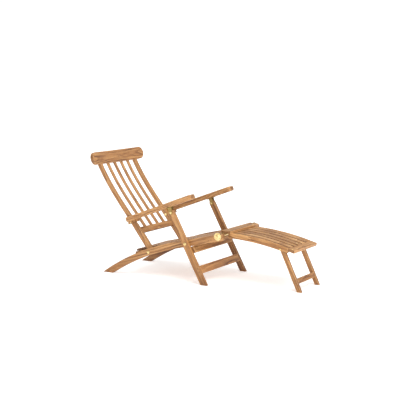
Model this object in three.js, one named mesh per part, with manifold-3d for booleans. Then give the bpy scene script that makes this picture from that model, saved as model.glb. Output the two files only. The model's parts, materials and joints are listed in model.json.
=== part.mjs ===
// A folding teak deck chair (steamer chair) with brass fittings.
// Millimetres, +X towards the sitter's feet, +Y to the sitter's left, +Z up, floor at Z = 0.
// The seat frame carries everything: its side rails run back and down to the floor as the rear feet.
// Backrest, front legs, arms and footrest are groups placed at the pivots they turn on.
import * as THREE from "three";
import { mergeVertices } from "three/addons/utils/BufferGeometryUtils.js";
import Module from "manifold-3d";

const wasm = await Module();
wasm.setup();

// Clearances
const fit = 0.3; // between pieces that are joined face to face
const boltPlay = 0.4; // round a bolt in its hole, on the radius
const hookPlay = 0.6; // between the footrest hooks and their rod, on the radius
const washerGap = 3; // between leg and rail
const stileGap = 4; // between rail and backrest stile
const slatMargin = 5; // between the outermost seat slat and a stile

// Side rail, one curved plank a side
const railThickness = 28;
const railWidth = 45;
const railCorner = 10;
const railSlope = 13.5; // degrees, of the straight front part
const railStraight = 391; // length of the straight front part
const railRadius = 1750; // of the rear part, on its centre line
const railHeight = 242.5; // of the centre line where the curve begins
const railInner = 225; // from the middle of the chair to the rail

// Seat slats and the bars under them, placed along the straight of the rail
const seatSlatCount = 6;
const seatSlatWidth = 56;
const seatSlatThickness = 15;
const seatSlatDrop = 4; // of the slats below the rail's upper edge
const seatSlatRear = -356;
const seatSlatFront = 322;
const seatBarThickness = 22;
const seatBarWidth = 52;
const seatBarPlaces = { rear: -322, middle: -65, front: 288 };

// Brass rod that the footrest hangs on
const rodRadius = 7;
const rodPlace = 353;
const rodRise = 9; // above the rail's centre line
const capRadius = 27;
const capThickness = 3;
const capFlange = 28;

// Front legs
const legThickness = 24;
const legWidth = 42;
const legLean = 28.45; // degrees from upright
const legPivotPlace = 105.6; // along the rail
const legUpper = 230.4; // from the rail pivot to the arm pivot
const legBarThickness = 20;
const upperBarWidth = 47;
const upperBarOffset = 16; // of the upper bar's rear face ahead of the leg's centre line
const lowerBarWidth = 54;
const lowerBarPlace = 199; // below the pivot, to the middle of the bar

// Backrest
const stileThickness = 24;
const backLean = 35.92; // degrees from upright
const backPivotArc = 7.27; // degrees back along the rail's curve
const backLength = 722; // from the pivot to the headrest
const backHollow = 43; // pull of the curve that hollows the back
const backTopOffset = -9;
const stileHalfLow = 20;
const stileHalfMiddle = 14.5;
const stileHalfTop = 13;
const backSlatCount = 4;
const backSlatWidth = 24;
const backSlatThickness = 12;
const lowerRailPlace = 168;
const lowerRailWidth = 43;
const lowerRailThickness = 22;
const headrestLength = 610;
const headrestHeight = 88;
const headrestThickness = 24;
const headrestRadius = 3100; // of its bend in plan
const headrestTurn = 21.9; // degrees that it stands more upright than the back
const headrestSetback = 3;

// Arms and the notched blocks that hook on the backrest's pins
const pinRadius = 5;
const pinPlace = 0.338; // share of the back's curve
const armGap = 3; // between stile and arm
const armTailWidth = 46;
const armFrontWidth = 71;
const armThickness = 34;
const armFront = 199; // ahead of the leg pivot
const armTail = 18; // behind the pin
const armRise = 38; // of the arm's underside above the leg pivot
const notchCover = 9; // of the arm's underside above the pin
const notchPitch = 22;
const notchCount = 3;
const notchPlay = 0.6;
const blockWidth = 24;
const blockLip = 8; // of the block below the pin's centre
const blockFront = 84; // ahead of the arm's tail
const strapThickness = 2.5;
const bracketLength = 58;
const bracketCheek = 13; // radius of the cheek round its bolt
const bracketPlay = 0.4;

// Footrest
const footRailInner = 146;
const footRailThickness = 22;
const footRailWidth = 37;
const footRadius = 1800; // of the rails' upper edge
const footRailLength = 450;
const footRailRear = 31; // ahead of the rod
const footRise = 17; // of the rails' upper edge above the rod
const footRearAngle = 0.75; // degrees, of the upper edge at the rear
const footSlatCount = 5;
const footSlatWidth = 48;
const footSlatThickness = 12;
const footSlatMargin = 6;
const rearBarHalf = 195;
const rearBarBack = 54;
const rearBarAhead = 16;
const rearBarThickness = 16;
const frontBarDepth = 48;
const frontBarThickness = 22;
const cleatThickness = 20;
const cleatWidth = 24;
const cleatAngle = 7.7; // degrees, of the middle cleat along the footrest's curve
const hookWidth = 20;
const hookThickness = 3.2;
const hookFlange = 46;

// Legs of the footrest
const footLegThickness = 22;
const footLegWidth = 30;
const footLegLean = 25; // degrees from upright
const footPivotAngle = 13.3; // degrees along the footrest's curve
const footLegGap = 1; // to the footrest's rails and slats
const footBarWidth = 36;
const footBarPlace = 232;

const boltRadius = 4;
const roundSteps = 20;
const arcSteps = 18;

// Places that follow
const railOuter = railInner + railThickness;
const legInner = railOuter + washerGap;
const legOuter = legInner + legThickness;
const stileOuter = railInner - stileGap;
const stileInner = stileOuter - stileThickness;
const armInner = stileOuter + armGap;
const footRailOuter = footRailInner + footRailThickness;
const footLegOuter = footRailInner - footLegGap;
const footLegInner = footLegOuter - footLegThickness;
const slope = radians(railSlope);

function radians(degrees) {
  return (degrees * Math.PI) / 180;
}

// A point of the seat frame, given along and above the rail's straight centre line.
function onRail(along, above) {
  return new THREE.Vector2(
    along * Math.cos(slope) - above * Math.sin(slope),
    railHeight + along * Math.sin(slope) + above * Math.cos(slope),
  );
}

// The place that (x, z) in a frame at origin, leaning by lean degrees towards +X, has in its parent.
function outOf(origin, lean, x, z) {
  const a = radians(lean);
  return new THREE.Vector2(
    origin.x + x * Math.cos(a) + z * Math.sin(a),
    origin.y - x * Math.sin(a) + z * Math.cos(a),
  );
}

function into(origin, lean, point) {
  const shifted = point.clone().sub(origin);
  return outOf(new THREE.Vector2(), -lean, shifted.x, shifted.y);
}

function solidOf(geometry) {
  const plain = geometry.clone();
  plain.deleteAttribute("normal");
  plain.deleteAttribute("uv");
  const merged = mergeVertices(plain, 1e-4);
  return new wasm.Manifold(
    new wasm.Mesh({
      numProp: 3,
      vertProperties: merged.attributes.position.array,
      triVerts: new Uint32Array(merged.index.array),
    }),
  );
}

function geometryOf(solid) {
  const mesh = solid.getMesh();
  const geometry = new THREE.BufferGeometry();
  geometry.setAttribute("position", new THREE.BufferAttribute(mesh.vertProperties, 3));
  geometry.setIndex(new THREE.BufferAttribute(mesh.triVerts, 1));
  geometry.computeVertexNormals();
  return geometry;
}

function joined(...geometries) {
  return geometryOf(geometries.map(solidOf).reduce((whole, piece) => whole.add(piece)));
}

function cut(geometry, ...tools) {
  return geometryOf(tools.map(solidOf).reduce((whole, tool) => whole.subtract(tool), solidOf(geometry)));
}

// A plank whose outline is drawn in the side view (x, z) and which fills y from inner to outer.
function plank(outline, inner, outer, steps = arcSteps) {
  const geometry = new THREE.ExtrudeGeometry(outline, {
    depth: outer - inner,
    bevelEnabled: false,
    curveSegments: steps,
  });
  return geometry.rotateX(Math.PI / 2).translate(0, outer, 0);
}

function box(x0, x1, y0, y1, z0, z1) {
  return new THREE.BoxGeometry(x1 - x0, y1 - y0, z1 - z0).translate(
    (x0 + x1) / 2,
    (y0 + y1) / 2,
    (z0 + z1) / 2,
  );
}

// A bar across the chair, from side to side.
function crossbar(x0, x1, z0, z1, half) {
  return box(x0, x1, -half, half, z0, z1);
}

function crossHole(x, z, radius, inner, outer) {
  const overrun = 5;
  const length = outer - inner + 2 * overrun;
  return new THREE.CylinderGeometry(radius, radius, length, roundSteps).translate(x, (inner + outer) / 2, z);
}

function polygon(points) {
  return new THREE.Shape(points);
}

// A turned piece about a line across the chair; each pair is a radius and a distance from the middle.
function turned(x, z, profile) {
  const points = profile.map(([radius, y]) => new THREE.Vector2(radius, y));
  return new THREE.LatheGeometry(points, roundSteps).translate(x, 0, z);
}

// A bolt with a domed head outside, a nut inside, and a washer where two pieces turn on each other.
function bolt(x, z, nutFace, washer, headFace, size = 1) {
  const shank = boltRadius * size;
  const head = 11 * size;
  const nut = 8 * size;
  const profile = [
    [0, nutFace - 6 * size],
    [nut, nutFace - 6 * size],
    [nut, nutFace],
    [shank, nutFace],
  ];
  if (washer) {
    const [inner, outer] = washer;
    profile.push([shank, inner], [head, inner], [head, outer], [shank, outer]);
  }
  profile.push([shank, headFace], [head, headFace], [head, headFace + 1.2 * size]);
  profile.push([0.8 * head, headFace + 3 * size], [0.45 * head, headFace + 4.2 * size]);
  profile.push([0, headFace + 4.6 * size]);
  return turned(x, z, profile);
}

function teak(shade = 0xb9783f) {
  return new THREE.MeshStandardMaterial({ color: shade, roughness: 0.62, metalness: 0 });
}

function brass() {
  return new THREE.MeshStandardMaterial({ color: 0xd9c27a, roughness: 0.28, metalness: 1 });
}

function add(parent, name, geometry, material) {
  const mesh = new THREE.Mesh(geometry, material);
  mesh.name = name;
  parent.add(mesh);
}

// The piece as drawn on the sitter's left, and its mirror image on the right.
function addPair(parent, name, geometry, material) {
  for (const [side, sign] of [["left", 1], ["right", -1]]) {
    const mesh = new THREE.Mesh(geometry.clone(), material());
    mesh.name = `${name}_${side}`;
    mesh.scale.y = sign;
    parent.add(mesh);
  }
}

function frame(name, origin, lean) {
  const group = new THREE.Group();
  group.name = name;
  group.position.set(origin.x, 0, origin.y);
  group.rotation.y = radians(lean);
  return group;
}

// Pivots, in the plane that the chair folds in
const legPivot = onRail(legPivotPlace, 0);
const armPivot = outOf(legPivot, -legLean, 0, legUpper);
const backArc = radians(backPivotArc);
const backPlace = new THREE.Vector2(-railRadius * Math.sin(backArc), -railRadius * (1 - Math.cos(backArc)));
const backPivot = onRail(backPlace.x, backPlace.y);
const rodCentre = onRail(rodPlace, rodRise);

// The middle line of the backrest, in its own frame: x forward of it, y up it.
const backCurve = new THREE.CubicBezierCurve(
  new THREE.Vector2(0, 0),
  new THREE.Vector2(4, backLength / 3),
  new THREE.Vector2(-backHollow, (backLength * 2) / 3),
  new THREE.Vector2(backTopOffset, backLength),
);
const pinInBack = backCurve.getPoint(pinPlace);
const pinCentre = outOf(backPivot, -backLean, pinInBack.x, pinInBack.y);

function seatFrame() {
  const group = frame("seat_frame", new THREE.Vector2(0, railHeight), -railSlope);
  addPair(group, "side_rail", sideRail(), teak);
  seatSlats(group);
  seatBars(group);
  add(group, "footrest_rod", footrestRod(), brass());
  addPair(group, "rod_cap", rodCap(), brass);
  const legBolt = bolt(legPivotPlace, 0, railInner - fit, [railOuter + fit, legInner - fit], legOuter + fit);
  addPair(group, "leg_bolt", legBolt, brass);
  const backWasher = [stileOuter + fit, railInner - fit];
  const backBolt = bolt(backPlace.x, backPlace.y, stileInner - fit, backWasher, railOuter + fit);
  addPair(group, "back_bolt", backBolt, brass);
  return group;
}

// Angle back along a curve of this radius at which it meets the floor.
function floorAngle(radius) {
  return Math.acos((railRadius * Math.cos(slope) - railHeight) / radius) - slope;
}

function sideRail() {
  const half = railWidth / 2;
  const up = Math.PI / 2;
  const outline = new THREE.Shape();
  outline.moveTo(0, -half);
  outline.lineTo(railStraight - railCorner, -half);
  outline.absarc(railStraight - railCorner, railCorner - half, railCorner, -up, 0, false);
  outline.absarc(railStraight - railCorner, half - railCorner, railCorner, 0, up, false);
  outline.lineTo(0, half);
  const upper = railRadius + half;
  const lower = railRadius - half;
  outline.absarc(0, -railRadius, upper, up, up + floorAngle(upper), false);
  outline.absarc(0, -railRadius, lower, up + floorAngle(lower), up, true);
  const rodHole = crossHole(rodPlace, rodRise, rodRadius + boltPlay, railInner, railOuter);
  const legHole = crossHole(legPivotPlace, 0, boltRadius + boltPlay, railInner, railOuter);
  const backHole = crossHole(backPlace.x, backPlace.y, boltRadius + boltPlay, railInner, railOuter);
  return cut(plank(outline, railInner, railOuter), rodHole, legHole, backHole);
}

// The slats lie side by side between the stiles, so that the backrest can swing down past them.
function seatSlats(group) {
  const half = stileInner - slatMargin;
  const pitch = (2 * half - seatSlatWidth) / (seatSlatCount - 1);
  const top = railWidth / 2 - seatSlatDrop;
  for (let i = 0; i < seatSlatCount; i += 1) {
    const y = -half + i * pitch;
    const slat = box(seatSlatRear, seatSlatFront, y, y + seatSlatWidth, top - seatSlatThickness, top);
    add(group, `seat_slat_${i + 1}`, slat, teak(i % 2 ? 0xb9783f : 0xc2834a));
  }
}

function seatBars(group) {
  const top = railWidth / 2 - seatSlatDrop - seatSlatThickness - fit;
  for (const [place, along] of Object.entries(seatBarPlaces)) {
    const from = along - seatBarWidth / 2;
    const bar = crossbar(from, from + seatBarWidth, top - seatBarThickness, top, railInner - fit);
    add(group, `seat_bar_${place}`, bar, teak());
  }
}

function footrestRod() {
  const half = railOuter - fit;
  const rod = new THREE.CylinderGeometry(rodRadius, rodRadius, 2 * half, roundSteps);
  return rod.translate(rodPlace, 0, rodRise);
}

// A round plate over each end of the rod, with a flange bent over the rail's upper edge.
function rodCap() {
  const face = railOuter + fit;
  const rim = face + capThickness;
  const plate = turned(rodPlace, rodRise, [
    [0, face],
    [capRadius, face],
    [capRadius, rim - 1],
    [capRadius - 1.5, rim],
    [13, rim],
    [11, rim + 2.4],
    [5, rim + 3.6],
    [0, rim + 3.8],
  ]);
  const low = railWidth / 2 + fit;
  const half = capFlange / 2;
  const inner = railOuter - 18;
  const flange = box(rodPlace - half, rodPlace + half, inner, face + 1, low, low + strapThickness);
  return joined(plate, flange);
}

function frontLegs() {
  const group = frame("front_legs", legPivot, -legLean);
  const half = legWidth / 2;
  const toFloor = (x) => -(legPivot.y + x * Math.sin(radians(legLean))) / Math.cos(radians(legLean));
  const outline = new THREE.Shape();
  outline.moveTo(-half, toFloor(-half));
  outline.lineTo(half, toFloor(half));
  outline.lineTo(half, legUpper);
  outline.absarc(0, legUpper, half, 0, Math.PI, false);
  const railHole = crossHole(0, 0, boltRadius + boltPlay, legInner, legOuter);
  const armHole = crossHole(0, legUpper, boltRadius + boltPlay, legInner, legOuter);
  addPair(group, "front_leg", cut(plank(outline, legInner, legOuter), railHole, armHole), teak);

  // The rails come down on the upper bar when the chair is open: it is the stop of the fold.
  const barFront = upperBarOffset + legBarThickness;
  const below = (railWidth / 2 + fit * 2 + barFront * Math.sin(stopAngle())) / Math.cos(stopAngle());
  const span = legInner - fit;
  const upperBar = crossbar(upperBarOffset, barFront, -below - upperBarWidth, -below, span);
  add(group, "leg_bar_upper", upperBar, teak());
  const middle = -lowerBarPlace;
  const lowerBar = crossbar(
    half - legBarThickness,
    half,
    middle - lowerBarWidth / 2,
    middle + lowerBarWidth / 2,
    span,
  );
  add(group, "leg_bar_lower", lowerBar, teak());
  return group;
}

// Angle between the leg's cross direction and the rail.
function stopAngle() {
  return radians(legLean - railSlope);
}

// Edge of a curved backrest piece: its points at this distance from the back's middle line.
function backEdge(offset, from, to) {
  const points = [];
  for (let i = 0; i <= arcSteps; i += 1) {
    const t = from + ((to - from) * i) / arcSteps;
    const point = backCurve.getPoint(t);
    points.push(new THREE.Vector2(point.x + offset(t), point.y));
  }
  return points;
}

function stileHalf(t) {
  const waist = THREE.MathUtils.smoothstep(t, 0.15, 0.5);
  return stileHalfLow - (stileHalfLow - stileHalfMiddle) * waist - (stileHalfMiddle - stileHalfTop) * t;
}

// Height of the headrest's lower edge in the back's frame; it is tilted against the back.
function headrestFoot(x) {
  return backLength - (x - backTopOffset + headrestSetback) * Math.tan(radians(headrestTurn)) - fit;
}

function backStile() {
  const front = backEdge(stileHalf, 0, 1);
  const rear = backEdge((t) => -stileHalf(t), 0, 1).reverse();
  front.at(-1).y = headrestFoot(front.at(-1).x);
  rear[0].y = headrestFoot(rear[0].x);
  const outline = new THREE.Shape(front.concat(rear));
  outline.absarc(0, 0, stileHalfLow, Math.PI, 2 * Math.PI, false);
  const pivotHole = crossHole(0, 0, boltRadius + boltPlay, stileInner, stileOuter);
  const pinHole = crossHole(pinInBack.x, pinInBack.y, pinRadius + boltPlay, stileInner, stileOuter);
  return cut(plank(outline, stileInner, stileOuter), pivotHole, pinHole);
}

function backSlats(group) {
  const half = backSlatThickness / 2;
  const start = (lowerRailPlace + lowerRailWidth / 2 + fit) / backLength;
  const front = backEdge(() => half, start, 1);
  const rear = backEdge(() => -half, start, 1).reverse();
  front.at(-1).y = headrestFoot(front.at(-1).x);
  rear[0].y = headrestFoot(rear[0].x);
  const outline = polygon(front.concat(rear));
  const pitch = (2 * stileInner) / (backSlatCount + 1);
  for (let i = 1; i <= backSlatCount; i += 1) {
    const y = -stileInner + i * pitch;
    const slat = plank(outline, y - backSlatWidth / 2, y + backSlatWidth / 2);
    add(group, `back_slat_${i}`, slat, teak(0xc2834a));
  }
}

// A pill-shaped board bent in plan, so that its ends come forward.
function headrest() {
  const half = headrestThickness / 2;
  const reach = Math.asin((headrestLength / 2 + 1) / (headrestRadius - half));
  const band = new THREE.Shape();
  band.absarc(headrestRadius, 0, headrestRadius + half, Math.PI - reach, Math.PI + reach, false);
  band.absarc(headrestRadius, 0, headrestRadius - half, Math.PI + reach, Math.PI - reach, true);
  const bent = new THREE.ExtrudeGeometry(band, {
    depth: headrestHeight,
    bevelEnabled: false,
    curveSegments: arcSteps,
  });
  const round = headrestHeight / 2;
  const straight = headrestLength / 2 - round;
  const pill = new THREE.Shape();
  pill.absarc(straight, round, round, -Math.PI / 2, Math.PI / 2, false);
  pill.absarc(-straight, round, round, Math.PI / 2, (3 * Math.PI) / 2, false);
  const depth = 8 * headrestThickness;
  const face = new THREE.ExtrudeGeometry(pill, { depth, bevelEnabled: false, curveSegments: roundSteps });
  face.rotateX(Math.PI / 2).rotateZ(Math.PI / 2);
  face.translate(-depth / 2, 0, 0);
  return geometryOf(solidOf(bent).intersect(solidOf(face)));
}

function backrest() {
  const group = frame("backrest", backPivot, -backLean);
  addPair(group, "back_stile", backStile(), teak);
  backSlats(group);
  const middle = backCurve.getPoint(lowerRailPlace / backLength).x;
  const rail = crossbar(
    middle - lowerRailThickness / 2,
    middle + lowerRailThickness / 2,
    lowerRailPlace - lowerRailWidth / 2,
    lowerRailPlace + lowerRailWidth / 2,
    stileInner - fit,
  );
  add(group, "back_lower_rail", rail, teak());
  const top = frame("", new THREE.Vector2(backTopOffset - headrestSetback, backLength), headrestTurn);
  add(top, "headrest", headrest(), teak(0xbf7a3e));
  group.add(top);
  addPair(group, "notch_pin", notchPin(), brass);
  return group;
}

// The pin that an arm's notched block hooks over.
function notchPin() {
  const collar = stileOuter + fit;
  return turned(pinInBack.x, pinInBack.y, [
    [0, stileInner - 3],
    [9, stileInner - 3],
    [9, stileInner - fit],
    [pinRadius, stileInner - fit],
    [pinRadius, collar],
    [8, collar],
    [8, collar + 2],
    [pinRadius, collar + 2],
    [pinRadius, armInner + blockWidth - 2],
    [pinRadius - 1, armInner + blockWidth - 1],
    [0, armInner + blockWidth - 1],
  ]);
}

// The arm rises over its two holds: the leg's bracket in front and the pin at the back.
const hold = armPivot.clone().sub(pinCentre);
const armSlope =
  THREE.MathUtils.radToDeg(Math.atan2(hold.y, hold.x) + Math.asin((armRise - notchCover) / hold.length()));
const pinInArm = into(armPivot, -armSlope, pinCentre);
const armRear = pinInArm.x - armTail;

function armBoard() {
  const corner = 10;
  const nose = 30;
  const swell = 60; // half of the stretch in which the arm widens
  const outerTail = armInner + armTailWidth;
  const outerFront = armInner + armFrontWidth;
  const quarter = Math.PI / 2;
  const outline = new THREE.Shape();
  outline.absarc(armRear + corner, armInner + corner, corner, 2 * quarter, 3 * quarter, false);
  outline.absarc(armFront - nose, armInner + nose, nose, -quarter, 0, false);
  outline.absarc(armFront - nose, outerFront - nose, nose, 0, quarter, false);
  outline.lineTo(swell, outerFront);
  outline.bezierCurveTo(0, outerFront, 0, outerTail, -swell, outerTail);
  outline.absarc(armRear + corner, outerTail - corner, corner, quarter, 2 * quarter, false);
  const board = new THREE.ExtrudeGeometry(outline, {
    depth: armThickness,
    bevelEnabled: false,
    curveSegments: 8,
  });
  return board.translate(0, 0, armRise);
}

function notchedBlock() {
  const low = pinInArm.y - blockLip;
  const inner = armInner + fit;
  const outer = armInner + blockWidth;
  const block = box(armRear, armRear + blockFront, inner, outer, low, armRise - fit);
  const half = pinRadius + notchPlay;
  const notches = [];
  for (let i = 0; i < notchCount; i += 1) {
    const x = pinInArm.x + i * notchPitch;
    notches.push(box(x - half, x + half, inner - 1, outer + 1, low - 1, pinInArm.y));
    notches.push(crossHole(x, pinInArm.y, half, inner, outer));
  }
  return cut(block, ...notches);
}

// A brass strap down the end of the block, turned out below as a finger tab to lift the arm by.
function liftTab() {
  const face = armRear - fit;
  const low = pinInArm.y - blockLip;
  const inner = armInner + 2;
  const outer = armInner + blockWidth - 2;
  const strap = box(face - strapThickness, face, inner, outer, low, armRise - fit);
  const tab = box(face - 18, face - 1, inner, outer, low, low + strapThickness);
  return joined(strap, tab);
}

// A U of brass under the arm that straddles the top of the leg.
function armBracket() {
  const half = bracketLength / 2;
  const top = armRise - fit;
  const base = top - hookThickness;
  const inside = legInner - bracketPlay;
  const outside = legOuter + bracketPlay;
  const plate = box(-half, half, inside - strapThickness, outside + strapThickness, base, top);
  const cheek = new THREE.Shape();
  cheek.absarc(0, 0, bracketCheek, Math.PI, 2 * Math.PI, false);
  cheek.lineTo(bracketCheek, base + 1);
  cheek.lineTo(-bracketCheek, base + 1);
  const innerCheek = plank(cheek, inside - strapThickness, inside, 12);
  const outerCheek = plank(cheek, outside, outside + strapThickness, 12);
  const hole = crossHole(0, 0, boltRadius + boltPlay, legInner, legOuter);
  return cut(joined(plate, innerCheek, outerCheek), hole);
}

// Each arm turns on its own leg, so the two are separate groups.
function arm(side, sign) {
  const group = frame(`${side}_arm`, armPivot, -armSlope);
  const cheekGap = bracketPlay + strapThickness + fit;
  const pieces = [
    ["arm_board", armBoard(), teak()],
    ["notched_block", notchedBlock(), teak()],
    ["lift_tab", liftTab(), brass()],
    ["arm_bracket", armBracket(), brass()],
    ["arm_bolt", bolt(0, 0, legInner - cheekGap, null, legOuter + cheekGap, 0.8), brass()],
  ];
  for (const [name, geometry, material] of pieces) {
    const mesh = new THREE.Mesh(geometry, material);
    mesh.name = `${name}_${side}`;
    mesh.scale.y = sign;
    group.add(mesh);
  }
  return group;
}

// The footrest's upper surface is an arc; angles along it start from its highest point.
const footRear = radians(footRearAngle);
const footFront = footRear + footRailLength / footRadius;
const footCentre = new THREE.Vector2(
  footRailRear - footRadius * Math.sin(footRear),
  footRise - footRadius * Math.cos(footRear),
);

function onFootrest(radius, angle) {
  return new THREE.Vector2(
    footCentre.x + radius * Math.sin(angle),
    footCentre.y + radius * Math.cos(angle),
  );
}

// A strip that follows the footrest's curve between two radii.
function curvedStrip(low, high, from, to) {
  const up = Math.PI / 2;
  const outline = new THREE.Shape();
  outline.absarc(footCentre.x, footCentre.y, high, up - from, up - to, true);
  outline.absarc(footCentre.x, footCentre.y, low, up - to, up - from, false);
  return outline;
}

const slatUnder = footRadius - footSlatThickness;
const footPivotRadius = slatUnder - footLegGap - footLegWidth / 2;
const footPivot = onFootrest(footPivotRadius, radians(footPivotAngle));

// The leg's front face carried up to a given radius, where the stop cleat meets it.
function legFaceAt(radius) {
  const start = outOf(footPivot, -footLegLean, footLegWidth / 2 + fit, 0);
  const along = outOf(new THREE.Vector2(), -footLegLean, 0, 1);
  const offset = start.clone().sub(footCentre);
  const b = offset.dot(along);
  const c = offset.lengthSq() - radius * radius;
  return start.addScaledVector(along, -b + Math.sqrt(b * b - c));
}

function footrest() {
  const group = frame("footrest", rodCentre, 0);
  const railOutline = curvedStrip(footRadius - footRailWidth, footRadius, footRear, footFront);
  const pivotHole = crossHole(footPivot.x, footPivot.y, boltRadius, footRailInner, footRailOuter);
  addPair(group, "foot_rail", cut(plank(railOutline, footRailInner, footRailOuter), pivotHole), teak);

  const slatOutline = curvedStrip(slatUnder, footRadius, footRear, footFront);
  const half = footRailInner - footSlatMargin;
  const pitch = (2 * half - footSlatWidth) / (footSlatCount - 1);
  for (let i = 0; i < footSlatCount; i += 1) {
    const y = -half + i * pitch;
    add(group, `foot_slat_${i + 1}`, plank(slatOutline, y, y + footSlatWidth), teak(0xc2834a));
  }
  footrestBars(group);
  addPair(group, "foot_hook", footHook(), brass);
  const footBolt = bolt(footPivot.x, footPivot.y, footLegInner - fit, null, footRailOuter + fit, 0.65);
  addPair(group, "foot_bolt", footBolt, brass);
  return group;
}

function footrestBars(group) {
  const rearAngle = footRear + rearBarAhead / footRadius;
  const rear = frame("", onFootrest(footRadius, rearAngle), THREE.MathUtils.radToDeg(rearAngle));
  const low = fit + 0.1;
  const rearBar = crossbar(-rearBarBack, rearBarAhead, low, low + rearBarThickness, rearBarHalf);
  add(rear, "foot_bar_rear", rearBar, teak());
  group.add(rear);

  const front = frame("", onFootrest(footRadius, footFront), THREE.MathUtils.radToDeg(footFront));
  const frontBar = crossbar(fit, frontBarDepth, -frontBarThickness, 0, footRailOuter);
  add(front, "foot_bar_front", frontBar, teak());
  group.add(front);

  const top = slatUnder - fit;
  const span = footRailInner - fit;
  const stop = polygon([
    legFaceAt(top),
    onFootrest(top, footFront),
    onFootrest(top - cleatThickness, footFront),
    legFaceAt(top - cleatThickness),
  ]);
  add(group, "foot_cleat_front", plank(stop, -span, span), teak());
  const place = radians(cleatAngle);
  const halfAngle = cleatWidth / 2 / footRadius;
  const cleat = curvedStrip(top - cleatThickness, top, place - halfAngle, place + halfAngle);
  add(group, "foot_cleat_middle", plank(cleat, -span, span, 2), teak());
}

// A brass hook under the rear bar that drops over the rod.
function footHook() {
  const inner = rodRadius + hookPlay;
  const outer = inner + hookThickness;
  const open = radians(35);
  const shut = radians(240);
  const curl = new THREE.Shape();
  curl.absarc(0, 0, outer, open, shut, false);
  curl.absarc(0, 0, inner, shut, open, true);
  const from = rearBarHalf - hookWidth - 2;
  const to = rearBarHalf - 2;
  const top = footRise - 0.2;
  const start = -7;
  const flange = box(start, start + hookFlange, from, to, top - hookThickness, top);
  const web = box(-5, 5, from, to, inner + 1, top - 1);
  return joined(plank(curl, from, to), flange, web);
}

const footLegPivot = rodCentre.clone().add(footPivot);

function footrestLegs() {
  const group = frame("footrest_legs", footLegPivot, -footLegLean);
  const half = footLegWidth / 2;
  const lean = radians(footLegLean);
  const toFloor = (x) => -(footLegPivot.y + x * Math.sin(lean)) / Math.cos(lean);
  const outline = new THREE.Shape();
  outline.moveTo(-half, toFloor(-half));
  outline.lineTo(half, toFloor(half));
  outline.absarc(0, 0, half, 0, Math.PI, false);
  const hole = crossHole(0, 0, boltRadius, footLegInner, footLegOuter);
  addPair(group, "foot_leg", cut(plank(outline, footLegInner, footLegOuter), hole), teak);
  const bar = crossbar(
    half - legBarThickness,
    half,
    -footBarPlace - footBarWidth / 2,
    -footBarPlace + footBarWidth / 2,
    footLegInner - fit,
  );
  add(group, "foot_leg_bar", bar, teak());
  return group;
}

const chair = new THREE.Group();
chair.add(seatFrame(), frontLegs(), backrest(), arm("left", 1), arm("right", -1), footrest(), footrestLegs());

// The part's own frame has its origin on the floor, under the middle of the chair.
const deckChair = new THREE.Group();
deckChair.add(chair);
deckChair.updateMatrixWorld(true);
const extent = new THREE.Box3().setFromObject(deckChair, true);
chair.position.x = -(extent.min.x + extent.max.x) / 2;

export default deckChair;
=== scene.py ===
# %% [markdown]
# # A folding teak deck chair
# This is the lounge chair that used to stand on the decks of liners: a slatted seat between two curved
# side rails, a hollow slatted back, arms that hook on the back, and a footrest with legs of its own.
# Its frame comes in already shaped and hinged, with every edge still sharp. A maker's next jobs are to
# ease the edges, oil the timber and polish the brass, and this lesson does the same in Blender.

import json
import math

import bmesh
import bpy
import numpy as np
from mathutils import Matrix, Vector
from mathutils.bvhtree import BVHTree


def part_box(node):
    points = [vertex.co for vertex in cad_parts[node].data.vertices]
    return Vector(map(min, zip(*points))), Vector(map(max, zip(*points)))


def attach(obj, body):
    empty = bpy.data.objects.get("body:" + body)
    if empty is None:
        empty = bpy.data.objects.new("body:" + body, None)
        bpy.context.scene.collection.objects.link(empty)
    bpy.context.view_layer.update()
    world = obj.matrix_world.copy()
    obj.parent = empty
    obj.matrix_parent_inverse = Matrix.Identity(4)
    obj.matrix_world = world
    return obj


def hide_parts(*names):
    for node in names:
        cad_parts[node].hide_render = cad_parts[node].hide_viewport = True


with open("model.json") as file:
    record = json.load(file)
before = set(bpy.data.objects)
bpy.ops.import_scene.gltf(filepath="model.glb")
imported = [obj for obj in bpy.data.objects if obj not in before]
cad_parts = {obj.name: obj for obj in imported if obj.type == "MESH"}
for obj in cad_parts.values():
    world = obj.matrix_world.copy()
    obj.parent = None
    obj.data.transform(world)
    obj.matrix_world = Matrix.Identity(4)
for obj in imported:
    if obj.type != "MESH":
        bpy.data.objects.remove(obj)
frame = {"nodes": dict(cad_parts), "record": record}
nodes = frame["nodes"]
record = frame["record"]
body_of = {node: body for body, members in record["behaviour"]["bodies"].items() for node in members}
slot_of = {part["node"]: part["material_slot"] for part in record["subparts"]}
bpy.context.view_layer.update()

# %% [markdown]
# ## The studio
# Catalogue furniture stands on white paper under large soft lamps, so that no shadow is hard and the
# timber's own colour shows. Here the paper lies on a light table: it glows a little, which all but
# rubs out the chair's shadow and sends some light up at the undersides. It runs on as far as the eye
# reaches, so the room behind it is only seen as a white line at the horizon.

# %% Paper on a light table
scene = bpy.context.scene
scene.view_settings.view_transform = "Standard"

PAPER_REACH = 60
PAPER_WHITE = (0.93, 0.93, 0.93, 1)
PAPER_GLOW = 0.42


def white_paper(reach):
    mesh = bpy.data.meshes.new("floor")
    corners = [(x * reach, y * reach, 0) for x, y in ((-1, -1), (1, -1), (1, 1), (-1, 1))]
    mesh.from_pydata(corners, [], [(0, 1, 2, 3)])
    floor = bpy.data.objects.new("floor", mesh)
    scene.collection.objects.link(floor)
    paper = bpy.data.materials.new("Floor paper")
    paper.use_nodes = True
    surface = paper.node_tree.nodes["Principled BSDF"]
    surface.inputs["Base Color"].default_value = PAPER_WHITE
    surface.inputs["Roughness"].default_value = 0.9
    surface.inputs["Specular IOR Level"].default_value = 0.1
    surface.inputs["Emission Color"].default_value = (1, 1, 1, 1)
    surface.inputs["Emission Strength"].default_value = PAPER_GLOW
    mesh.materials.append(paper)
    return floor


paper = white_paper(PAPER_REACH)
print("paper", round(paper.dimensions.x), "m wide")

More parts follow.
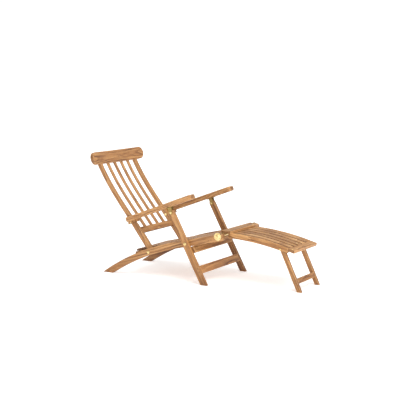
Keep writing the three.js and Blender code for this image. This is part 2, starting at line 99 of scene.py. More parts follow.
# %% [markdown]
# The room's walls are white and its ceiling is greyer. Looking up from the horizon, the world's strength
# falls from one to the other. Walls that shine on the chair from the side keep its upright faces bright,
# and the greyer ceiling leaves work for the lamps, which is what gives the timber its form.


# %% White walls under a greyer ceiling
WALL_STRENGTH = 1.05
CEILING_STRENGTH = 0.62


def white_room():
    world = bpy.data.worlds.new("White room")
    world.use_nodes = True
    tree = world.node_tree
    upward = tree.nodes.new("ShaderNodeSeparateXYZ")
    tree.links.new(tree.nodes.new("ShaderNodeTexCoord").outputs["Generated"], upward.inputs["Vector"])
    fall = tree.nodes.new("ShaderNodeMapRange")
    tree.links.new(upward.outputs["Z"], fall.inputs["Value"])
    limits = {"From Min": 0.10, "From Max": 0.45, "To Min": WALL_STRENGTH, "To Max": CEILING_STRENGTH}
    for label, value in limits.items():
        fall.inputs[label].default_value = value
    background = tree.nodes["Background"]
    background.inputs["Color"].default_value = (1, 1, 1, 1)
    tree.links.new(fall.outputs["Result"], background.inputs["Strength"])
    return world


scene.world = white_room()
print("world:", scene.world.name)

# %% [markdown]
# A distant lamp lights the paper evenly, which a small one near the chair can't do, and a wide angle
# keeps its shadows soft. The main one stands to the front and above, so slat tops are bright and the
# undersides stay brown. A weak second one is low in front and reaches the cross bars between the legs. A
# broad lamp beside the footrest adds a gleam to the brass.


# %% Lamps
def hang_lamp(name, kind, toward, **settings):
    lamp = bpy.data.lights.new(name, kind)
    for setting, value in settings.items():
        setattr(lamp, setting, value)
    holder = bpy.data.objects.new(name, lamp)
    scene.collection.objects.link(holder)
    holder.rotation_euler = Vector(toward).to_track_quat("-Z", "Y").to_euler()
    return holder


hang_lamp("key", "SUN", (-0.55, 0.42, -0.90), energy=1.70, angle=math.radians(34))
hang_lamp("low front", "SUN", (-0.86, 0.30, -0.30), energy=0.45, angle=math.radians(20))
beside_footrest = Vector((3.1, -1.9, 0.85))
toward_seat = Vector((0.1, 0, 0.25)) - beside_footrest
gleam = hang_lamp("gleam", "AREA", toward_seat, energy=20, shape="SQUARE", size=1.5)
gleam.location = beside_footrest

# %% [markdown]
# The camera stands well back with a long lens, which keeps the proportions true. It looks at the chair
# from the foot end and from the side, a little downward.

# %% Camera
camera = bpy.data.objects.new("camera", bpy.data.cameras.new("camera"))
scene.collection.objects.link(camera)
camera.location = (3.5793, -5.9518, 1.4850)
CAMERA_DIP = 8.38
CAMERA_TURN = 30.88
camera.rotation_euler = (math.radians(90 - CAMERA_DIP), 0, math.radians(CAMERA_TURN))
camera.data.lens = 87.62
camera.data.sensor_width = 36
camera.data.clip_end = 200
scene.camera = camera
print("camera stands", round(camera.location.length, 2), "m away")

# %% [markdown]
# ## Node groups that several finishes share
# Timber and brass are different stuffs, but both get rubbed on their edges and both carry the marks of
# hands. Each such effect is built once as a group with named sockets and placed in every material that
# needs it. Two small helpers keep the node building readable: one adds a node and sets it up, the other
# makes an empty group with its sockets.


# %% Helpers for shader trees
def add_node(tree, kind, values=None, **settings):
    made = tree.nodes.new(kind)
    for name, value in settings.items():
        setattr(made, name, value)
    for socket, value in (values or {}).items():
        if isinstance(value, bpy.types.NodeSocket):
            tree.links.new(value, made.inputs[socket])
        else:
            made.inputs[socket].default_value = value
    return made


def new_group(name, inputs, outputs):
    group = bpy.data.node_groups.new(name, "ShaderNodeTree")
    for label, kind, default in inputs:
        socket = group.interface.new_socket(label, in_out="INPUT", socket_type=kind)
        if default is not None:
            socket.default_value = default
    for label, kind in outputs:
        group.interface.new_socket(label, in_out="OUTPUT", socket_type=kind)
    return group, add_node(group, "NodeGroupInput"), add_node(group, "NodeGroupOutput")


def math_node(tree, operation, first, second=0.0, clamp=False):
    values = {0: first, 1: second}
    return add_node(tree, "ShaderNodeMath", values, operation=operation, use_clamp=clamp).outputs[0]


def ramp(tree, factor, stops):
    made = add_node(tree, "ShaderNodeValToRGB", {"Fac": factor})
    band = made.color_ramp
    while len(band.elements) < len(stops):
        band.elements.new(0.5)
    for element, (place, colour) in zip(band.elements, stops):
        element.position = place
        element.color = (*colour, 1)
    return made.outputs["Color"]


def grey(value):
    return (value, value, value)


def spread(tree, value, start, end, first=0.0, last=1.0):
    """Stretches the values from start to end over the range from first to last."""
    limits = {"Value": value, "From Min": start, "From Max": end, "To Min": first, "To Max": last}
    return add_node(tree, "ShaderNodeMapRange", limits).outputs["Result"]


print("a ramp runs over plain colours, such as", grey(0.5))

# %% [markdown]
# ### The figure of teak
# A board shows its tree's rings where the saw went through them: long arches on a flat face, tight lines
# on an edge and curves on the end grain. One texture in space does all three, because it is cut by the
# surface wherever that runs. Rings about a far-off heart give the arches, noise drawn out along the board
# gives the brown streaks, and a much finer one gives the short dark pores that teak is known for.


# %% Teak figure group
def stretched_noise(tree, place, stretch, detail, roughness=0.55, distortion=0.0):
    scaled = add_node(tree, "ShaderNodeVectorMath", {0: place, 1: stretch}, operation="MULTIPLY")
    values = {"Vector": scaled.outputs[0], "Scale": 1.0, "Detail": detail}
    values.update({"Roughness": roughness, "Distortion": distortion})
    return add_node(tree, "ShaderNodeTexNoise", values).outputs["Fac"]


WAVE_LENGTH = 0.314  # a wave texture of scale 1 repeats after about this many metres
RING_SHARE = 0.34
STREAK_SHARE = 1.00
THREAD_SHARE = 0.75
DARKEST_SUM = 0.57


def build_teak_figure():
    sockets = [("Place", "NodeSocketVector", None), ("Ring spacing", "NodeSocketFloat", 0.011)]
    results = [("Figure", "NodeSocketFloat"), ("Pores", "NodeSocketFloat"), ("Height", "NodeSocketFloat")]
    tree, given, out = new_group("Teak figure", sockets, results)
    place = given.outputs["Place"]
    sway = stretched_noise(tree, place, (2.2, 9, 9), 2.0)
    sway = math_node(tree, "MULTIPLY", math_node(tree, "SUBTRACT", sway, 0.5), 0.05)
    swayed = add_node(tree, "ShaderNodeCombineXYZ", {"X": 0.0, "Y": sway, "Z": sway})
    moved = add_node(tree, "ShaderNodeVectorMath", {0: place, 1: swayed.outputs[0]}, operation="ADD")
    ring_scale = math_node(tree, "DIVIDE", WAVE_LENGTH, given.outputs["Ring spacing"])
    wave = {"Vector": moved.outputs[0], "Scale": ring_scale, "Distortion": 1.4, "Detail": 2.0}
    kind = {"wave_type": "RINGS", "rings_direction": "X", "wave_profile": "SAW"}
    rings = add_node(tree, "ShaderNodeTexWave", wave, **kind).outputs["Fac"]
    broad = stretched_noise(tree, place, (2.6, 62, 62), 3.0, 0.6, 0.3)
    fine = stretched_noise(tree, place, (9, 330, 330), 4.0, 0.65, 0.2)
    figure = math_node(tree, "MULTIPLY", rings, RING_SHARE)
    figure = math_node(tree, "ADD", figure, math_node(tree, "MULTIPLY", broad, STREAK_SHARE))
    figure = math_node(tree, "ADD", figure, math_node(tree, "MULTIPLY", fine, THREAD_SHARE))
    figure = math_node(tree, "SUBTRACT", figure, DARKEST_SUM, clamp=True)
    pores = spread(tree, stretched_noise(tree, place, (85, 1500, 1500), 1.0), 0.60, 0.70)
    height = math_node(tree, "SUBTRACT", math_node(tree, "MULTIPLY", fine, 0.6), pores)
    for name, value in (("Figure", figure), ("Pores", pores), ("Height", height)):
        tree.links.new(value, out.inputs[name])
    return tree


teak_figure = build_teak_figure()
print("Teak figure has", len(teak_figure.nodes), "nodes")

# %% [markdown]
# ### Rubbed edges
# Edges take the knocks. Oiled timber goes paler there and brass goes brighter, though never evenly. When
# the edges are rounded below, each rounding strip is marked in a face attribute called "eased". This
# group reads the mark and breaks it up with noise, so that some stretches are worn and others are not.


# %% Rubbed edges group
def build_rubbed_edges():
    sockets = [("Place", "NodeSocketVector", None), ("Patch size", "NodeSocketFloat", 0.02)]
    tree, given, out = new_group("Rubbed edges", sockets, [("Worn", "NodeSocketFloat")])
    eased = add_node(tree, "ShaderNodeAttribute", attribute_name="eased", attribute_type="GEOMETRY")
    scale = math_node(tree, "DIVIDE", 1.0, given.outputs["Patch size"])
    values = {"Vector": given.outputs["Place"], "Scale": scale, "Detail": 3.0, "Roughness": 0.6}
    patches = add_node(tree, "ShaderNodeTexNoise", values).outputs["Fac"]
    broken = spread(tree, patches, 0.38, 0.62)
    tree.links.new(math_node(tree, "MULTIPLY", eased.outputs["Fac"], broken), out.inputs["Worn"])
    return tree


rubbed_edges = build_rubbed_edges()
print("Rubbed edges has", len(rubbed_edges.nodes), "nodes")

# %% [markdown]
# ### Marks of hands and weather
# Oil soaks in unevenly and polish never lies quite flat. Two sizes of soft cloud, one over the other, make
# the gloss and the colour drift across a piece in both materials.


# %% Soft marks group
CLOUD_SHARE = 0.65


def build_soft_marks():
    sockets = [("Place", "NodeSocketVector", None), ("Cloud size", "NodeSocketFloat", 0.08)]
    tree, given, out = new_group("Soft marks", sockets, [("Marks", "NodeSocketFloat")])
    scale = math_node(tree, "DIVIDE", 1.0, given.outputs["Cloud size"])
    large = {"Vector": given.outputs["Place"], "Scale": scale, "Detail": 2.0}
    small = dict(large, Scale=math_node(tree, "MULTIPLY", scale, 4.3), Detail=4.0)
    clouds = add_node(tree, "ShaderNodeTexNoise", large).outputs["Fac"]
    smears = add_node(tree, "ShaderNodeTexNoise", small).outputs["Fac"]
    clouds = math_node(tree, "MULTIPLY", clouds, CLOUD_SHARE)
    smears = math_node(tree, "MULTIPLY", smears, 1 - CLOUD_SHARE)
    both = math_node(tree, "ADD", clouds, smears)
    tree.links.new(spread(tree, both, 0.32, 0.68), out.inputs["Marks"])
    return tree


soft_marks = build_soft_marks()
print("groups:", [group.name for group in bpy.data.node_groups])

# %% [markdown]
# ## The two stuffs the chair is made of
# ### Oiled teak
# Fresh teak under oil is a warm golden brown, with streaks from honey to walnut. The figure picks the
# colour from a ramp, and each board is a little darker or lighter than the next. Soft clouds come over
# that, where the oil went in unevenly.


# %% Nodes that both materials begin with
def place_group(tree, group, values):
    return add_node(tree, "ShaderNodeGroup", values, node_tree=group)


def mix_colour(tree, factor, first, second, blend="MIX"):
    values = {0: factor, 6: first, 7: second}
    return add_node(tree, "ShaderNodeMix", values, data_type="RGBA", blend_type=blend).outputs[2]


def read_attribute(tree, name):
    return add_node(tree, "ShaderNodeAttribute", attribute_name=name, attribute_type="GEOMETRY")


def opaque(colour, strength=1.0):
    return (*[min(1.0, strength * c) for c in colour], 1)


print("half strength:", opaque((0.42, 0.196, 0.066), 0.5))

# %% [markdown]
# Some places are darker than the board. Pores and sawn ends drink more oil than the rest, and the sides of
# slats are darkened as painted shade, for the shadow in the narrow gaps between them. The feet go darker
# towards the ground, over their lowest few hands' breadths. That last mask reads each point's own height
# in the piece's coordinates, which move with the piece when the chair folds.


# %% Dark places in teak
FEET_REACH = 0.24
# A tint that darkens the lowest part of each piece, towards the ground.
GROUND_DARKENING_TINT = (0.62, 0.53, 0.42)


# Darker towards the ground, over the lowest part of each piece's own height.
def darken_towards_ground(tree, colour):
    place = add_node(tree, "ShaderNodeTexCoord").outputs["Object"]
    height = add_node(tree, "ShaderNodeSeparateXYZ", {0: place}).outputs["Z"]
    darkened = spread(tree, height, 0.0, FEET_REACH, 0.95, 0.0)
    return mix_colour(tree, darkened, colour, opaque(GROUND_DARKENING_TINT), "MULTIPLY")


def darken_pores(tree, colour, dark, pores):
    return mix_colour(tree, math_node(tree, "MULTIPLY", pores, 0.45), colour, opaque(dark, 0.45))


# Sawn ends are darker from oil, and the sides of slats are darkened as painted shade for the shadowed gaps
# between slats.
def darken_ends_and_gap_shade(tree, colour, dark, ends_and_gap_shade):
    return mix_colour(tree, math_node(tree, "MULTIPLY", ends_and_gap_shade, 0.5), colour, opaque(dark, 0.7))


print("feet are damp up to", FEET_REACH, "m")

# %% [markdown]
# Worn edges go paler last, because wear takes the oil off again, but not on ends and slat sides, which
# nobody touches. Frame timber and slats come from different boards, so they share the recipe and differ
# in its colours, and hands rub the frame more than the slats.


# %% Teak materials
BOARD_TONE_AND_SHADE_RAMP = [(0.0, (0.60, 0.52, 0.40)), (1.0, (1.14, 1.14, 1.10))]
OIL_CLOUDS = [(0.0, grey(0.90)), (1.0, grey(1.06))]


def teak_colour(tree, figure, marks, worn, ends_and_gap_shade, dark, middle, light, rub):
    colour = ramp(tree, figure.outputs["Figure"], [(0.16, dark), (0.44, middle), (0.80, light)])
    # The board tone, which on a few pieces is painted shade and on one painted light.
    board_and_shade = ramp(tree, read_attribute(tree, "tone_and_shade").outputs["Fac"], BOARD_TONE_AND_SHADE_RAMP)
    colour = mix_colour(tree, 1.0, colour, board_and_shade, "MULTIPLY")
    colour = mix_colour(tree, 1.0, colour, ramp(tree, marks, OIL_CLOUDS), "MULTIPLY")
    colour = darken_pores(tree, colour, dark, figure.outputs["Pores"])
    # Darker towards the ground.
    colour = darken_towards_ground(tree, colour)
    # Sawn ends darken, and slat sides get painted shade for the gaps between slats.
    colour = darken_ends_and_gap_shade(tree, colour, dark, ends_and_gap_shade)
    touched = math_node(tree, "SUBTRACT", 1.0, ends_and_gap_shade, clamp=True)
    rubbed = math_node(tree, "MULTIPLY", math_node(tree, "MULTIPLY", worn, touched), rub)
    return mix_colour(tree, rubbed, colour, opaque(light, 1.25))


def teak_roughness(tree, figure, marks, worn):
    rough = math_node(tree, "MULTIPLY", figure.outputs["Figure"], 0.10)
    rough = math_node(tree, "ADD", rough, math_node(tree, "MULTIPLY", marks, 0.14))
    rough = math_node(tree, "ADD", rough, math_node(tree, "MULTIPLY", worn, 0.08))
    return math_node(tree, "ADD", rough, 0.40)


def teak_material(name, dark, middle, light, rub):
    material = bpy.data.materials.new(name)
    material.use_nodes = True
    tree = material.node_tree
    surface = tree.nodes["Principled BSDF"]
    place = read_attribute(tree, "grain").outputs["Vector"]
    figure = place_group(tree, teak_figure, {"Place": place})
    worn = place_group(tree, rubbed_edges, {"Place": place, "Patch size": 0.03}).outputs["Worn"]
    marks = place_group(tree, soft_marks, {"Place": place, "Cloud size": 0.11}).outputs["Marks"]
    ends_and_gap_shade = read_attribute(tree, "end_grain_and_gap_shade").outputs["Fac"]
    colour = teak_colour(tree, figure, marks, worn, ends_and_gap_shade, dark, middle, light, rub)
    tree.links.new(colour, surface.inputs["Base Color"])
    tree.links.new(teak_roughness(tree, figure, marks, worn), surface.inputs["Roughness"])
    relief = {"Height": figure.outputs["Height"], "Strength": 0.35, "Distance": 0.0005}
    tree.links.new(add_node(tree, "ShaderNodeBump", relief).outputs["Normal"], surface.inputs["Normal"])
    return material


frame_browns = ((0.150, 0.055, 0.015), (0.42, 0.196, 0.066), (0.67, 0.390, 0.168))
slat_browns = ((0.180, 0.070, 0.020), (0.45, 0.212, 0.074), (0.70, 0.415, 0.188))
finishes = {
    "teak": teak_material("Oiled teak frame", *frame_browns, rub=0.38),
    "teak_slats": teak_material("Oiled teak slats", *slat_browns, rub=0.12),
}
print("teak:", [material.name for material in finishes.values()])

# %% [markdown]
# ### Brass
# The round caps and the bolt heads are polished yellow brass. Handling leaves it brighter on the edges,
# and a little browner and duller in soft clouds. Fine turning lines catch the light, which a bump from
# stretched noise gives. The same tone that makes boards darker turns brass brown and dull where it is low.
# On the brackets under the arms this is tarnish, out of the polishing cloth's way, and also painted shade
# for the shadow of the arms above them.


# %% Brass material
BRASS_CLOUDS = [(0.0, (0.66, 0.48, 0.19)), (0.5, (0.76, 0.58, 0.26)), (1.0, (0.84, 0.67, 0.34))]
BRIGHT_BRASS = (0.98, 0.86, 0.55)
# Brown of tarnish, which on the arm brackets also serves as painted shade under the arms.
TARNISH_AND_SHADE_BROWN = (0.30, 0.19, 0.055)


def brass_roughness(tree, marks, worn, tarnish_and_shade):
    rough = math_node(tree, "MULTIPLY", math_node(tree, "SUBTRACT", 1.0, marks), 0.16)
    rough = math_node(tree, "ADD", rough, 0.24)
    rough = math_node(tree, "SUBTRACT", rough, math_node(tree, "MULTIPLY", worn, 0.08))
    return math_node(tree, "ADD", rough, math_node(tree, "MULTIPLY", tarnish_and_shade, 0.16))


def brass_material():
    material = bpy.data.materials.new("Polished brass")
    material.use_nodes = True
    tree = material.node_tree
    surface = tree.nodes["Principled BSDF"]
    place = read_attribute(tree, "grain").outputs["Vector"]
    worn = place_group(tree, rubbed_edges, {"Place": place, "Patch size": 0.008}).outputs["Worn"]
    marks = place_group(tree, soft_marks, {"Place": place, "Cloud size": 0.018}).outputs["Marks"]
    polished = math_node(tree, "MULTIPLY", worn, 0.7)
    colour = mix_colour(tree, polished, ramp(tree, marks, BRASS_CLOUDS), opaque(BRIGHT_BRASS))
    tone_and_shade = read_attribute(tree, "tone_and_shade").outputs["Fac"]
    # Low tone turns brass brown: tarnish, and on the arm brackets painted shade as well.
    tarnish_and_shade = math_node(tree, "MULTIPLY", math_node(tree, "SUBTRACT", 1.0, tone_and_shade), 0.9)
    colour = mix_colour(tree, tarnish_and_shade, colour, opaque(TARNISH_AND_SHADE_BROWN))
    tree.links.new(colour, surface.inputs["Base Color"])
    surface.inputs["Metallic"].default_value = 1.0
    tree.links.new(brass_roughness(tree, marks, worn, tarnish_and_shade), surface.inputs["Roughness"])
    lines = stretched_noise(tree, place, (900, 90, 900), 2.0)
    relief = {"Height": lines, "Strength": 0.10, "Distance": 0.00005}
    tree.links.new(add_node(tree, "ShaderNodeBump", relief).outputs["Normal"], surface.inputs["Normal"])
    return material


finishes["brass"] = brass_material()
print("finishes:", [material.name for material in finishes.values()])

# %% [markdown]
# ## Easing the edges
# The frame's pieces are sawn sharp. A router with a small round-over cutter goes round every timber edge,
# and a file takes the burr off the brass. In mesh terms: merge the flat triangles back into faces, bevel
# the edges that turn sharply, and leave alone the rims of bolt holes, which stay hidden under the heads.
# A rim is a small closed loop of sharp edges that meets no others.


# %% Find the edges to round
SHARP = math.radians(28)
LONGEST_RIM = 0.06


def sharp_edges(work):
    return [e for e in work.edges if len(e.link_faces) == 2 and e.calc_face_angle(0) > SHARP]


def without_rims(edges):
    waiting = set(edges)
    kept = set()
    for start in edges:
        if start not in waiting:
            continue
        waiting.discard(start)
        loop = [start]
        for edge in loop:
            for vertex in edge.verts:
                for other in vertex.link_edges:
                    if other in waiting:
                        waiting.discard(other)
                        loop.append(other)
        if sum(e.calc_length() for e in loop) > LONGEST_RIM:
            kept.update(loop)
    return [e for e in edges if e in kept]


print("edges that turn by more than", round(math.degrees(SHARP)), "degrees get rounded")

# %% [markdown]
# The long way of a piece is the main axis of its points, and the next two axes are its width and its
# thickness. Both the next cell and the grain need them.


# %% The three axes of a piece
def points_of(vertices):
    return np.array([v.co for v in vertices], float).reshape(-1, 3)


def long_axes(points):
    """The centre of a piece, and its axes from the longest to the shortest."""
    centre = (points.min(0) + points.max(0)) / 2
    _, directions = np.linalg.eigh(np.cov((points - points.mean(0)).T))
    axes = directions[:, ::-1].T
    for axis in axes:
        if axis[np.argmax(np.abs(axis))] < 0:
            axis *= -1
    return centre, axes


headrest_axes = long_axes(points_of(nodes["headrest"].data.vertices))[1]
print("the headrest runs along", [round(abs(float(v)), 2) for v in headrest_axes[0]])

# %% [markdown]
# The front ends of the arms are where hands rest, so they are worked to a half round over their
# thickness. The end is cut into thin slices across the board, closer together towards the tip. Each
# slice is then drawn in towards the middle of the thickness as a circle would have it, and the last one
# keeps a quarter of its height as a small flat.

# %% A half-round nose, and the easing itself
ARM_NOSE = 0.017
NOSE_SLICES = (0.06, 0.16, 0.32, 0.52, 0.76, 1.0)
NOSE_FLAT = 0.25
SMOOTH_BELOW = math.radians(35)


def round_nose(work, reach):
    centre, axes = long_axes(points_of(work.verts))
    along, through = Vector(axes[0]), Vector(axes[2])
    tip = max(v.co.dot(along) for v in work.verts)
    for step in NOSE_SLICES:
        whole = work.verts[:] + work.edges[:] + work.faces[:]
        bmesh.ops.bisect_plane(work, geom=whole, plane_co=(tip - step * reach) * along, plane_no=along)
    middle = Vector(centre).dot(through)
    for vertex in work.verts:
        inward = min(1.0, (tip - vertex.co.dot(along)) / reach)
        keep = NOSE_FLAT + (1 - NOSE_FLAT) * math.sqrt(1 - (1 - inward) ** 2)
        vertex.co -= (1 - keep) * (vertex.co.dot(through) - middle) * through


def ease(source, radius, segments, nose=0.0):
    work = bmesh.new()
    work.from_mesh(source)
    bmesh.ops.remove_doubles(work, verts=work.verts, dist=1e-5)
    bmesh.ops.dissolve_limit(work, angle_limit=math.radians(0.5), verts=work.verts, edges=work.edges)
    eased = work.faces.layers.float.new("eased")
    corners = without_rims(sharp_edges(work))
    if corners:
        shape = {"offset": radius, "offset_type": "OFFSET", "segments": segments, "profile": 0.5}
        rounded = bmesh.ops.bevel(work, geom=corners, affect="EDGES", clamp_overlap=True, **shape)
        for face in rounded["faces"]:
            face[eased] = 1.0
    if nose:
        round_nose(work, nose)
    for face in work.faces:
        face.smooth = True
    for edge in work.edges:
        edge.smooth = len(edge.link_faces) == 2 and edge.calc_face_angle(0) < SMOOTH_BELOW
    return work


print("an arm's nose is round over its last", round(1000 * ARM_NOSE), "mm")

# %% [markdown]
# ## Laying the grain along each piece
# Timber is cut so that the grain runs the long way, which is where its strength is. Coordinates along the
# main axis and across it go into a vector attribute called "grain", shifted by a different amount for
# each piece, so that no two are cut from the same place in the tree. The tone attribute makes some boards
# darker than others, and on a few named pieces it carries painted shade, and on one painted light. The
# end-grain attribute marks the sawn ends, and the sides of slats even more strongly as painted shade, for
# the dark gaps between slats that make a slatted seat look slatted.


# %% Grain, tone and end grain, with painted shade
GOLDEN = 0.6180339887
GOLDEN_REST = 0.381966
TREE_LENGTH = 17.0
HEART = (-0.045, -0.05)
HEART_SPREAD = (0.09, -0.07)
DARKEST_BOARD = 0.38
TONE_SPREAD = 0.60
END_FACING = 0.8
SIDE_FACING = 0.35


def place_in_tree(index):
    first, second, third = [(index * GOLDEN * step) % 1 for step in (1, 2, 3)]
    sideways = HEART[0] + HEART_SPREAD[0] * second
    upward = HEART[1] + HEART_SPREAD[1] * third
    return np.array([TREE_LENGTH * first, sideways, upward])


def lay_grain(mesh, index, side_shade=0.0, board_tone_and_shade=None):
    points = points_of(mesh.vertices)
    centre, axes = long_axes(points)
    grain = mesh.attributes.new("grain", "FLOAT_VECTOR", "POINT")
    laid = (points - centre) @ axes.T + place_in_tree(index)
    grain.data.foreach_set("vector", laid.astype(np.float32).ravel())
    if board_tone_and_shade is None:
        board_tone_and_shade = DARKEST_BOARD + TONE_SPREAD * ((index * GOLDEN_REST) % 1)
    # Board tone, which for a few named pieces also carries painted shade and painted light.
    tone_and_shade = mesh.attributes.new("tone_and_shade", "FLOAT", "FACE")
    tone_and_shade.data.foreach_set("value", np.full(len(mesh.polygons), board_tone_and_shade, np.float32))
    facing = np.abs(np.array([p.normal for p in mesh.polygons], float) @ axes.T)
    # Slat sides get painted shade, for the shadow in the gaps between slats.
    sides_shaded = np.where(facing[:, 1] > SIDE_FACING, side_shade, 0.0)
    shade = np.where(facing[:, 0] > END_FACING, 1.0, sides_shaded)
    end = mesh.attributes.new("end_grain_and_gap_shade", "FLOAT", "FACE")
    end.data.foreach_set("value", shade.astype(np.float32))


print("the first board lies at", [round(float(v), 3) for v in place_in_tree(1)])

# %% [markdown]
# ## Choosing the boards
# A chair maker sorts the boards before sawing, and a calm one goes to the headrest, which is seen most.
# The numbers below are such choices, from 0 for the darkest board to 1 for the lightest, and for brass
# from tarnished to polished. A few of them are painted light and shade: the far front leg and the far side
# rail are darker as painted shade, the bar low between the legs is lighter as painted light, and the
# brackets under the arms are darker as painted shade under the arms as well as tarnish. Boards that aren't
# named here take what comes. Frame timber gets a generous round-over, slats and small blocks a lighter
# one, and brass only a broken edge.


# %% Tones, painted shade and light, and roundings
# front_leg_left and side_rail_left, on the far side, are darkened as painted shade; leg_bar_lower is
# lightened as painted light; arm_bracket is darkened as tarnish and painted shade under the arms.
CHOSEN_TONES_AND_SHADE = {
    "headrest": 0.35, "back_stile": 0.52, "back_slat": 0.45,
    "side_rail_left": 0.20, "side_rail_right": 0.56,
    "front_leg_left": 0.12, "front_leg_right": 0.46, "leg_bar_lower": 1.0, "leg_bar_upper": 0.30,
    "foot_leg": 0.40, "foot_bar_front": 0.70,
    "arm_bracket": 0.05, "lift_tab": 0.4, "foot_hook": 0.3,
}
POLISHED = 1.0
CUT_SHIFTS = {"headrest": 4}
# How strongly slat sides get painted shade, for the shadowed gaps between slats.
SLAT_SIDE_SHADE = 1.8


def tone_and_shade_of(node):
    chosen = next((tone_and_shade for start, tone_and_shade in CHOSEN_TONES_AND_SHADE.items() if node.startswith(start)), None)
    return POLISHED if chosen is None and slot_of[node] == "brass" else chosen


def rounding(node):
    """The radius of a piece's round-over and the number of steps it is made in."""
    if slot_of[node] == "brass":
        return 0.0005, 2
    if node.startswith("notched_block"):
        return 0.0012, 2
    if node.startswith("arm_board"):
        return 0.0070, 4
    if node.startswith("headrest"):
        return 0.0065, 4
    if "slat" in node:
        return 0.0020, 3
    return 0.0032, 3


print("chosen tones:", len(CHOSEN_TONES_AND_SHADE))

# %% [markdown]
# ## Finishing every piece
# Each piece is copied, eased, given its grain and its finish, and set to move with the part of the chair
# it belongs to. A weighted-normal modifier keeps the broad faces looking flat beside the roundings.


# %% Finish all the pieces
def finish_piece(node, index):
    radius, segments = rounding(node)
    work = ease(nodes[node].data, radius, segments, ARM_NOSE if node.startswith("arm_board") else 0.0)
    mesh = bpy.data.meshes.new(f"{node}_eased")
    work.to_mesh(mesh)
    work.free()
    side_shade = SLAT_SIDE_SHADE if node.startswith(("seat_slat", "foot_slat")) else 0.0
    lay_grain(mesh, index + CUT_SHIFTS.get(node, 0), side_shade, tone_and_shade_of(node))
    mesh.materials.append(finishes[slot_of[node]])
    piece = bpy.data.objects.new(f"{node}_eased", mesh)
    scene.collection.objects.link(piece)
    flatten = piece.modifiers.new("Broad faces stay flat", "WEIGHTED_NORMAL")
    flatten.keep_sharp = True
    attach(piece, body_of[node])
    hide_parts(node)
    return piece


finished = {node: finish_piece(node, index) for index, node in enumerate(sorted(nodes))}
face_count = sum(len(piece.data.polygons) for piece in finished.values())
print("finished", len(finished), "pieces with", face_count, "faces")

# %% [markdown]
# ## Screws and pegs
# Brass screws with slotted raised heads hold the slats on the bars under them and the caps on the rails,
# and round pegs lock the tenons of the cross bars. Both are small and many, so one head or peg is built
# and stamped wherever a ray finds the timber's surface. No two slots point the same way, as a hand driver
# leaves them. A head is two half-round lands with the slot between them, over a thin round floor.


# %% Shapes of a screw head and a peg
def stack_rings(work, rings):
    """Closes a stack of equal rings of points into one solid."""
    rows = [[work.verts.new(point) for point in ring] for ring in rings]
    count = len(rows[0])
    faces = [work.faces.new(rows[0][::-1]), work.faces.new(rows[-1])]
    for low_row, high_row in zip(rows, rows[1:]):
        for i in range(count):
            j = (i + 1) % count
            faces.append(work.faces.new((low_row[i], low_row[j], high_row[j], high_row[i])))
    return faces


def round_ring(radius, height, count=20):
    turns = [2 * math.pi * i / count for i in range(count)]
    return [Vector((radius * math.cos(a), radius * math.sin(a), height)) for a in turns]


def half_ring(radius, height, slot, side, shrink=1.0, count=11):
    start = math.asin(slot / 2 / radius)
    turns = [start + (math.pi - 2 * start) * i / (count - 1) for i in range(count)]
    middle = Vector((0, radius / 2, 0))
    ring = []
    for a in turns:
        point = middle + shrink * (Vector((radius * math.cos(a), radius * math.sin(a), 0)) - middle)
        ring.append(Vector((side * point.x, side * point.y, height)))
    return ring


def screw_head(radius):
    work = bmesh.new()
    slot, rise = 0.26 * radius, 0.24 * radius
    stack_rings(work, [round_ring(radius, -0.0005), round_ring(radius, 0.0001)])
    for side in (1, -1):
        levels = [(-0.0004, 1.0), (0.4 * rise, 1.0), (0.8 * rise, 0.88), (rise, 0.66)]
        stack_rings(work, [half_ring(radius, height, slot, side, shrink) for height, shrink in levels])
    return work


def peg_end(radius):
    work = bmesh.new()
    levels = [(1.0, -0.0008), (1.0, 0.0002), (0.86, 0.0005)]
    stack_rings(work, [round_ring(shrink * radius, height) for shrink, height in levels])
    return work


slat_screw = screw_head(0.0042)
cap_screw = screw_head(0.0030)
peg = peg_end(0.0045)
print("a screw head has", len(slat_screw.faces), "faces and a peg", len(peg.faces))

# %% [markdown]
# A ray is cast at the sharp CAD piece, because its broad faces are exactly where the eased ones are. The
# first ray finds which way the surface faces. For a curved slat, a second one straight down on that
# surface finds the spot over the middle of the bar.


# %% Find spots on the timber and stamp the shapes there
def surface_of(node):
    mesh = nodes[node].data
    return BVHTree.FromPolygons([v.co for v in mesh.vertices], [tuple(p.vertices) for p in mesh.polygons])


def spot_over(node, point, toward):
    surface = surface_of(node)
    _, normal, _, _ = surface.ray_cast(Vector(point) - 0.2 * Vector(toward), Vector(toward))
    place, normal, _, _ = surface.ray_cast(Vector(point) + 0.2 * normal, -normal)
    return place, normal


def centre_of(node):
    low_corner, high_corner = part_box(node)
    return (low_corner + high_corner) / 2


PEG_TONE = 0.6


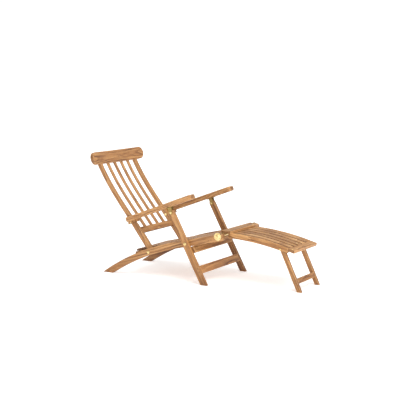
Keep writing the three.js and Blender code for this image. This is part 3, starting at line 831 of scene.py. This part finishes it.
def stamp(name, shape, spots, body, slot, end_grain_and_gap_shade=False):
    whole = bmesh.new()
    for number, (place, normal) in enumerate(spots):
        turn = Matrix.Rotation(math.pi * ((number * GOLDEN) % 1), 4, "Z")
        upright = normal.to_track_quat("Z", "X").to_matrix().to_4x4()
        single = bpy.data.meshes.new("one")
        shape.to_mesh(single)
        single.transform(Matrix.Translation(place) @ upright @ turn)
        whole.from_mesh(single)
        bpy.data.meshes.remove(single)
    bmesh.ops.recalc_face_normals(whole, faces=whole.faces)
    for face in whole.faces:
        face.smooth = True
    for edge in whole.edges:
        edge.smooth = edge.calc_face_angle(0) < SMOOTH_BELOW
    mesh = bpy.data.meshes.new(name)
    whole.to_mesh(mesh)
    whole.free()
    lay_grain(mesh, len(spots), board_tone_and_shade=POLISHED if slot == "brass" else PEG_TONE)
    if end_grain_and_gap_shade:
        mesh.attributes["end_grain_and_gap_shade"].data.foreach_set("value", np.ones(len(mesh.polygons), np.float32))
    mesh.materials.append(finishes[slot])
    piece = bpy.data.objects.new(name, mesh)
    scene.collection.objects.link(piece)
    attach(piece, body)
    print(name, len(spots))
    return piece

# %% [markdown]
# ### Where the screws go
# Each slat of the seat is screwed down where it crosses a bar, and each slat of the footrest where it
# crosses a cleat. The footrest's two end bars are screwed to its rails.

# %% Screws in the slats and in the footrest's end bars
DOWN = Vector((0, 0, -1))
SCREW_INSET = 0.007


def sides(name):
    return [f"{name}_left", f"{name}_right"]


def over_bars(slats, bars):
    spots = []
    for slat in slats:
        for bar in bars:
            under = centre_of(bar)
            under.y = centre_of(slat).y
            spots.append(spot_over(slat, under, DOWN))
    return spots


seat_slats = sorted(n for n in nodes if n.startswith("seat_slat"))
foot_slats = sorted(n for n in nodes if n.startswith("foot_slat"))
seat_spots = over_bars(seat_slats, ["seat_bar_rear", "seat_bar_middle", "seat_bar_front"])
stamp("seat_screws", slat_screw, seat_spots, "seat_frame", "brass")
foot_spots = over_bars(foot_slats, ["foot_cleat_middle", "foot_cleat_front"])
for rail in sides("foot_rail"):
    rail_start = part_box(rail)[0].x + SCREW_INSET
    bar_middle = centre_of("foot_bar_front").x
    for bar, place in (("foot_bar_rear", rail_start), ("foot_bar_front", bar_middle)):
        over_rail = Vector((place, centre_of(rail).y, centre_of(bar).z))
        foot_spots.append(spot_over(bar, over_rail, DOWN))
stamp("footrest_screws", slat_screw, foot_spots, "footrest", "brass")

# %% [markdown]
# Three screws hold each round cap. They stand on a circle about the rod, evenly spaced, and are turned
# with the side rail, which slopes there.

# %% Screws in the rod caps
CAP_SCREW_CIRCLE = 0.0195
CAP_SCREW_TURNS = (90, 210, 330)
RAIL_SLOPE = 13.5

rod = centre_of("footrest_rod")
cap_spots = []
for cap, sign in (("rod_cap_left", 1), ("rod_cap_right", -1)):
    for turn in CAP_SCREW_TURNS:
        a = math.radians(turn - RAIL_SLOPE)
        around = rod + CAP_SCREW_CIRCLE * Vector((math.cos(a), 0, math.sin(a)))
        around.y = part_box(cap)[1].y if sign > 0 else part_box(cap)[0].y
        cap_spots.append(spot_over(cap, around, Vector((0, -sign, 0))))
stamp("cap_screws", cap_screw, cap_spots, "seat_frame", "brass")

# %% [markdown]
# ### Where the pegs go
# The cross bars are let into the legs, the stiles and the rails with tenons. Two pegs lock each joint,
# set apart along the piece that the bar is let into, and show as round spots of end grain on its outside.


# %% Pegs in the ends of the cross bars
def pegs_beside(bar, posts, apart):
    """Two pegs over each end of a bar, set apart along the post that it is let into."""
    spots = []
    for post in posts:
        sign = 1 if post.endswith("left") else -1
        along = Vector(long_axes(points_of(nodes[post].data.vertices))[1][0])
        for step in (-apart, apart):
            target = centre_of(bar) + step * along
            target.y = centre_of(post).y
            spots.append(spot_over(post, target, Vector((0, -sign, 0))))
    return spots


leg_spots = pegs_beside("leg_bar_lower", sides("front_leg"), 0.013)
stamp("leg_pegs", peg, leg_spots, "front_legs", "teak", True)
back_spots = pegs_beside("back_lower_rail", sides("back_stile"), 0.011)
stamp("back_pegs", peg, back_spots, "backrest", "teak", True)
foot_leg_spots = pegs_beside("foot_leg_bar", sides("foot_leg"), 0.009)
stamp("foot_pegs", peg, foot_leg_spots, "footrest_legs", "teak", True)
rail_spots = []
for bar in ("seat_bar_middle", "seat_bar_front"):
    rail_spots += pegs_beside(bar, sides("side_rail"), 0.011)
stamp("seat_pegs", peg, rail_spots, "seat_frame", "teak", True)
